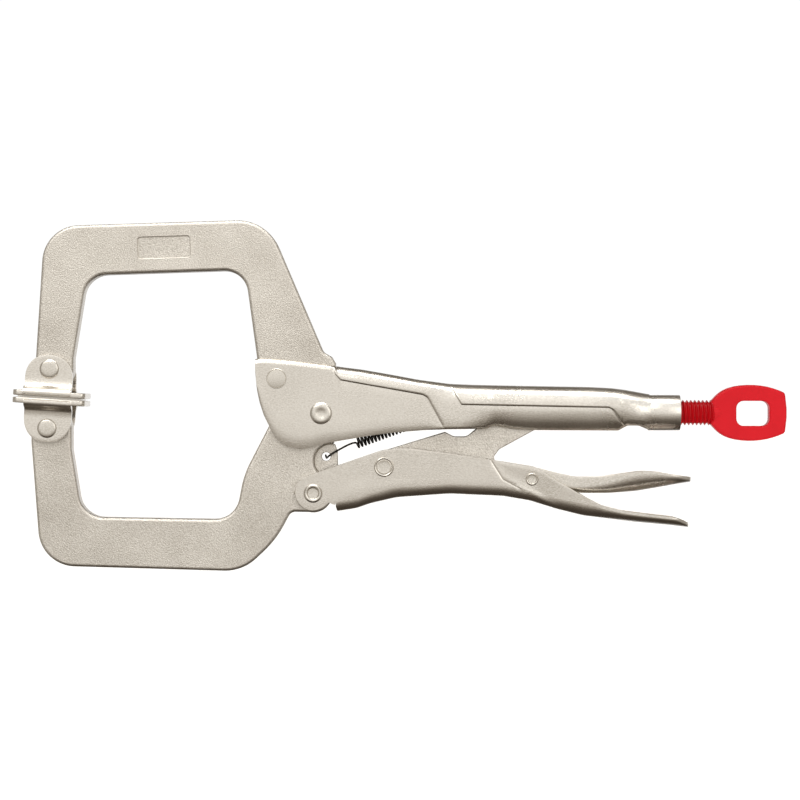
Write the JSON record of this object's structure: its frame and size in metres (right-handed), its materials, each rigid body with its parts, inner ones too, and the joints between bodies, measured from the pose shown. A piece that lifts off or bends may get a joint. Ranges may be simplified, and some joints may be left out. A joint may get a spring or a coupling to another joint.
{
  "type": "locking c clamp",
  "caption": "Locking C-clamp with forged jaws, swivel pads, over-centre toggle handle, release lever, tension spring and a red adjusting screw with an eyed key.",
  "frame": {"origin": "the middle of the closed gap between the two pads, on the clamp's mid plane", "axes": "+X from the jaws to the key, +Z towards the fixed jaw, +Y across the thickness"},
  "size_m": [0.2907, 0.022, 0.1317],
  "materials": {
    "forged_nickel": "shot-blasted forging, satin nickel plate",
    "sheet_nickel": "pressed sheet steel, smooth satin nickel plate",
    "rivet_nickel": "upset rivet, satin nickel plate",
    "red_coat": "red baked coating",
    "spring_black": "black oiled spring wire"
  },
  "bodies": {
    "frame": {"upper_handle": "sheet_nickel", "fixed_jaw": "forged_nickel", "fixed_jaw_rivet": "rivet_nickel", "main_pivot_rivet": "rivet_nickel", "tension_spring": "spring_black"},
    "movable_jaw": {"movable_jaw": "forged_nickel"},
    "lower_handle": {"lower_handle": "sheet_nickel", "knee_rivet": "rivet_nickel", "toggle_rivet": "rivet_nickel", "lever_rivet": "rivet_nickel"},
    "toggle_link": {"toggle_link": "forged_nickel"},
    "release_lever": {"release_lever": "sheet_nickel"},
    "screw_travel": {"screw_point": "red_coat"},
    "screw": {"adjusting_screw": "red_coat"},
    "upper_pad": {"upper_pad": "sheet_nickel", "upper_pad_rivet": "rivet_nickel"},
    "lower_pad": {"lower_pad": "sheet_nickel", "lower_pad_rivet": "rivet_nickel"}
  },
  "joints": [
    {"name": "jaw_swing", "type": "hinge", "parent": "frame", "child": "movable_jaw", "pos_m": [0.1017, 0, -0.0058], "axis": [0, -1, 0], "range_deg": [0, 28], "deforming": ["tension_spring"]},
    {"name": "lower_handle_swing", "type": "hinge", "parent": "movable_jaw", "child": "lower_handle", "pos_m": [0.0987, 0, -0.0358], "axis": [0, 1, 0], "range_deg": [0, 81.5]},
    {"name": "toggle_link_swing", "type": "hinge", "parent": "lower_handle", "child": "toggle_link", "pos_m": [0.1253, 0, -0.0259], "axis": [0, -1, 0], "range_deg": [0, 79]},
    {"name": "release_lever_press", "type": "hinge", "parent": "lower_handle", "child": "release_lever", "pos_m": [0.1808, 0, -0.0305], "axis": [0, 1, 0], "range_deg": [0, 11]},
    {"name": "key_turn", "type": "hinge", "parent": "screw_travel", "child": "screw", "pos_m": [0.1976, 0, -0.0056], "axis": [1, 0, 0], "range_deg": [0, 3610]},
    {"name": "screw_travel", "type": "slide", "parent": "frame", "child": "screw_travel", "axis": [1, 0, 0], "range_m": [0, 0.015]},
    {"name": "upper_pad_swivel", "type": "hinge", "parent": "frame", "child": "upper_pad", "pos_m": [-0.0001, 0, 0.0108], "axis": [0, 1, 0], "range_deg": [-12, 12]},
    {"name": "lower_pad_swivel", "type": "hinge", "parent": "movable_jaw", "child": "lower_pad", "pos_m": [-0.001, 0, -0.0114], "axis": [0, 1, 0], "range_deg": [-12.2, 12.2]}
  ],
  "couplings": [
    {"joint": "lower_handle_swing", "follows": "jaw_swing", "ratio": 2.9},
    {"joint": "toggle_link_swing", "follows": "jaw_swing", "ratio": 2.81},
    {"joint": "key_turn", "follows": "screw_travel", "rad_per_m": 4188.8},
    {"joint": "lower_pad_swivel", "follows": "upper_pad_swivel", "ratio": 1}
  ]
}
